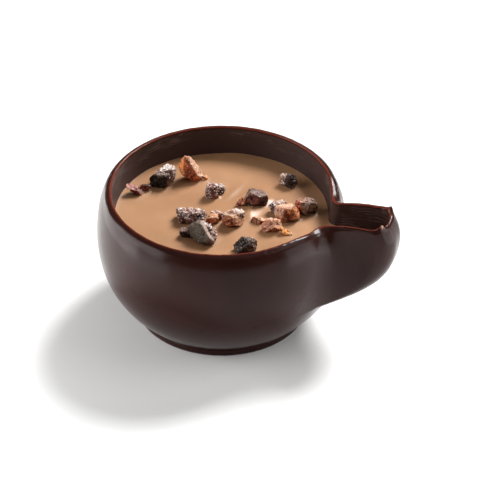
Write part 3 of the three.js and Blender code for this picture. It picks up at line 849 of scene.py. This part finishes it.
# A material with one shader, and the few nodes that most of them need.
class Finish:
    def __init__(self, name, **values):
        self.material = bpy.data.materials.new(name)
        self.material.use_nodes = True
        self.tree = self.material.node_tree
        self.shader = self.tree.nodes["Principled BSDF"]
        self.place = self.node("ShaderNodeTexCoord").outputs["Object"]
        for label, value in values.items():
            self.shader.inputs[label].default_value = value

    def node(self, kind, **values):
        made = self.tree.nodes.new(kind)
        for label, value in values.items():
            setattr(made, label, value)
        return made

    def link(self, output, target):
        self.tree.links.new(output, target)

    # Noise over the object's own coordinates; scale is how often it repeats in a metre.
    def noise(self, scale, detail):
        noise = self.node("ShaderNodeTexNoise")
        noise.inputs["Scale"].default_value = scale
        noise.inputs["Detail"].default_value = detail
        self.link(self.place, noise.inputs["Vector"])
        return noise.outputs["Fac"]

    # Distance to the nearest of one scattered point per cell, and a number of that cell's own.
    def cells(self, scale):
        cells = self.node("ShaderNodeTexVoronoi")
        cells.inputs["Scale"].default_value = scale
        self.link(self.place, cells.inputs["Vector"])
        split = self.node("ShaderNodeSeparateColor")
        self.link(cells.outputs["Color"], split.inputs["Color"])
        return cells.outputs["Distance"], split.outputs["Red"]

    def give(self, label, output):
        self.link(output, self.shader.inputs[label])

    def arithmetic(self, operation, first, second):
        made = self.node("ShaderNodeMath", operation=operation)
        self.put(first, made.inputs[0])
        self.put(second, made.inputs[1])
        return made.outputs[0]

    def attribute(self, name, output="Fac"):
        return self.node("ShaderNodeAttribute", attribute_name=name).outputs[output]

    # From one range of numbers to another.
    def range(self, value, low, high, toLow=0, toHigh=1):
        made = self.node("ShaderNodeMapRange")
        ends = {"From Min": low, "From Max": high, "To Min": toLow, "To Max": toHigh}
        for label, number in ends.items():
            made.inputs[label].default_value = number
        self.link(value, made.inputs["Value"])
        return made.outputs["Result"]

    # One colour over another, by a share. A colour is written as text or comes from a node.
    def colours(self, share, first, second, how="MIX"):
        made = self.node("ShaderNodeMix", data_type="RGBA", blend_type=how)
        self.put(share, made.inputs[0])
        self.put(first, made.inputs[6])
        self.put(second, made.inputs[7])
        return made.outputs[2]

    def put(self, value, target):
        if isinstance(value, str):
            target.default_value = (*lightOf(value), 1)
        elif isinstance(value, (int, float)):
            target.default_value = value
        else:
            self.link(value, target)

    # Bumps of a height in metres, one on top of the last.
    def bump(self, value, distance, strength, under=None):
        made = self.node("ShaderNodeBump")
        made.inputs["Distance"].default_value = distance
        made.inputs["Strength"].default_value = strength
        self.link(value, made.inputs["Height"])
        if under is not None:
            self.link(under, made.inputs["Normal"])
        return made.outputs["Normal"]


# In all finishes a noise is how often it repeats in a metre and how detailed it is, and a span is
# the part of it that is stretched from 0 to 1. A bump is its height in metres and its strength.
span = (0.3, 0.7)
chocolate = {
    "dark": "#26110d",
    "light": "#2c1410",
    # inside is the inner wall's grey: bloom with painted sheen.
    "inside": "#3f2e2b",
    # crest is the ridges' pale tops: dust with a painted highlight.
    "crest": "#66544e",
    "lip": "#6c3125",
    "pale_tip": "#d79c84",
    "IOR": 1.24,
    "roughness": (0.17, 0.24),
    "insideRoughness": 0.5,
    "mottling": (110, 2),
    "mottlingSpan": (0.35, 0.65),
    "satin": (900, 4),
    "satinBump": (0.00002, 0.4),
    "line": (0.05, 0.9, 0, 0.85),  # from where to where the line comes in, and how much of it
}


def chocolateFinish():
    finish = Finish("dark chocolate", IOR=chocolate["IOR"])
    mottling = finish.range(finish.noise(*chocolate["mottling"]), *chocolate["mottlingSpan"])
    colour = finish.colours(mottling, chocolate["dark"], chocolate["light"])
    innerWall = finish.attribute("inner_wall")
    # The inner wall turns grey: bloom with painted sheen.
    colour = finish.colours(innerWall, colour, chocolate["inside"])
    # Pale ridge crests: dust with a painted highlight.
    colour = finish.colours(finish.attribute("crest"), colour, chocolate["crest"])
    line = finish.range(finish.attribute("lip_line"), *chocolate["line"])
    colour = finish.colours(line, colour, chocolate["lip"])
    colour = finish.colours(finish.attribute("pale_tip"), colour, chocolate["pale_tip"])
    finish.give("Base Color", colour)
    satin = finish.noise(*chocolate["satin"])
    outside = finish.range(satin, *span, *chocolate["roughness"])
    inside = finish.range(innerWall, 0, 1, 0, chocolate["insideRoughness"])
    finish.give("Roughness", finish.arithmetic("MAXIMUM", outside, inside))
    finish.give("Normal", finish.bump(satin, *chocolate["satinBump"]))
    return finish.material


praline = {
    "deep": "#a07553",
    "light": "#b08460",
    "IOR": 1.45,
    "roughness": (0.36, 0.42),
    "broad": (160, 3),
    "fine": (260, 2),
}


def pralineFinish():
    finish = Finish("praline cream", IOR=praline["IOR"])
    broad = finish.range(finish.noise(*praline["broad"]), *span)
    colour = finish.colours(broad, praline["deep"], praline["light"])
    finish.give("Base Color", colour)
    roughness = finish.range(finish.noise(*praline["fine"]), *span, *praline["roughness"])
    finish.give("Roughness", roughness)
    return finish.material


chipSkin = {
    "IOR": 1.32,
    "speckle": (5200, 4),
    "crystals": 4300,
    "fewer": 0.34,  # what a thin crust takes from the kind's sugar
    "more": 0.3,  # and what a thick one adds
    "shown": (0.92, 1.02),
    "rounded": (0.5, 0.3),
    "coarse": (3000, 3),
    "coarseBump": (0.00012, 0.6),
    "crystalBump": (0.00006, 0.8),
    "fine": (9000, 3),
    "fineBump": (0.00005, 0.6),
}


def chipFinish(name, kind):
    finish = Finish(name, IOR=chipSkin["IOR"])
    speckle = finish.range(finish.noise(*chipSkin["speckle"]), *span)
    # The colour kept at each point: the chip's own colour with painted light and shade.
    flesh_and_painted_light = finish.attribute("flesh_and_painted_light", "Color")
    colour = finish.colours(speckle, flesh_and_painted_light, kind["speckle"], "SOFT_LIGHT")
    crust = finish.attribute("crust")

    # Crystals: rounded cells, of which a thick crust shows more and a thin one only a few.
    near, own = finish.cells(chipSkin["crystals"])
    few, many = kind["sugar"] - chipSkin["fewer"], kind["sugar"] + chipSkin["more"]
    sugar = finish.arithmetic("ADD", finish.range(crust, 0, 1, few, many), own)
    shown = finish.range(sugar, *chipSkin["shown"])
    crystals = finish.arithmetic("MULTIPLY", shown, finish.range(near, *chipSkin["rounded"]))
    colour = finish.colours(crystals, colour, kind["crystal"])
    finish.give("Base Color", colour)
    finish.give("Roughness", finish.range(crust, 0, 1, *kind["roughness"]))
    coarse = finish.bump(finish.noise(*chipSkin["coarse"]), *chipSkin["coarseBump"])
    grained = finish.bump(crystals, *chipSkin["crystalBump"], coarse)
    fine = finish.bump(finish.noise(*chipSkin["fine"]), *chipSkin["fineBump"], grained)
    finish.give("Normal", fine)
    return finish.material


# Gives a piece its material and its place in the frame.
def wear(piece, material, nodes):
    piece.data.materials.append(material)
    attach(piece, "root")
    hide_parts(*nodes)


floorLook = {"reach": 6000, "colour": "#f4f4f3", "roughness": 0.55}


def makeFloor():
    corners = np.array([(-1, -1, 0), (1, -1, 0), (1, 1, 0), (-1, 1, 0)]) * floorLook["reach"]
    floor = makePiece("floor", corners, [(0, 1, 2, 3)])
    finish = Finish("pale floor", Roughness=floorLook["roughness"])
    finish.put(floorLook["colour"], finish.shader.inputs["Base Color"])
    floor.data.materials.append(finish.material)


# Wide lamps far off. The power is the light that each throws on a sheet that faces it. turn is
# from behind the cup towards the right.
keys = {
    "key": {"turn": 41, "rise": 45, "spread": 24, "power": 5.4},
    "right": {"turn": 95, "rise": 42, "spread": 40, "power": 0.6},
    "top": {"turn": 180, "rise": 72, "spread": 60, "power": 0.15},
    "left": {"turn": 262, "rise": 8, "spread": 60, "power": 4.2},
}

# Cards of light that stand round the cup, out of the picture, in metres: how far away each is from
# the middle that they share, how high it reaches, how wide it is and how bright.
cards = {
    "low right": {"turn": 105, "away": 0.06, "high": 0.035, "width": 0.05, "glow": 2},
    "low left": {"turn": 284, "away": 0.062, "high": 0.024, "width": 0.08, "glow": 2.8},
    "front left": {"turn": 244, "away": 0.055, "high": 0.016, "width": 0.045, "glow": 1.4},
}
cardsMiddle = 0.002
cardsLow = 0.001
ambient = {"colour": (1, 0.98, 0.95), "glow": 0.06}


def addLamp(name, kind, turn, rise, **values):
    data = bpy.data.lights.new(name, kind)
    for label, value in values.items():
        setattr(data, label, value)
    away = towardsViewer(photoView["azimuth"] + 180 - turn, rise)
    lamp = bpy.data.objects.new(name, data)
    lamp.rotation_mode = "QUATERNION"
    lamp.rotation_quaternion = away.to_track_quat("Z", "Y")
    lamp.visible_camera = False
    bpy.context.scene.collection.objects.link(lamp)
    return lamp, away


def makeLamps():
    for name, lamp in keys.items():
        spread = np.radians(lamp["spread"])
        addLamp(name, "SUN", lamp["turn"], lamp["rise"], energy=lamp["power"], angle=spread)
    for name, card in cards.items():
        height = card["high"] - cardsLow
        power = 4 * card["glow"] * card["width"] * height  # a larger card takes more
        shape = {"shape": "RECTANGLE", "size": card["width"], "size_y": height, "energy": power}
        lamp, away = addLamp(name, "AREA", card["turn"], 0, **shape)
        lamp.location = Vector((cardsMiddle, 0, cardsLow + height / 2)) + away * card["away"]
    world = bpy.data.worlds.new("studio")
    world.use_nodes = True
    background = world.node_tree.nodes["Background"]
    background.inputs["Color"].default_value = (*ambient["colour"], 1)
    background.inputs["Strength"].default_value = ambient["glow"]
    bpy.context.scene.world = world
    bpy.context.scene.view_settings.view_transform = "Standard"


makeCamera()
print("camera set")
cup = makeCup()
wear(cup, chocolateFinish(), ["chocolate_cup"])
print("cup made:", len(cup.data.polygons), "faces")
filling = makeCream()
wear(filling, pralineFinish(), ["praline_filling"])
print("cream made:", len(filling.data.polygons), "faces")
kinds = {"hazelnut_chips": hazelnut, "cocoa_chips": cocoa, "sugared_chips": sugared}
firstSeed = 1
for label, kind in kinds.items():
    chips = makeLumps(label, kind, firstSeed)
    wear(chips, chipFinish(label.replace("_", " "), kind), ["praline_filling"])
    firstSeed += len(kind["lumps"])
    print(label, "made:", len(chips.data.polygons), "faces")
makeFloor()
makeLamps()
print("floor and lamps set")
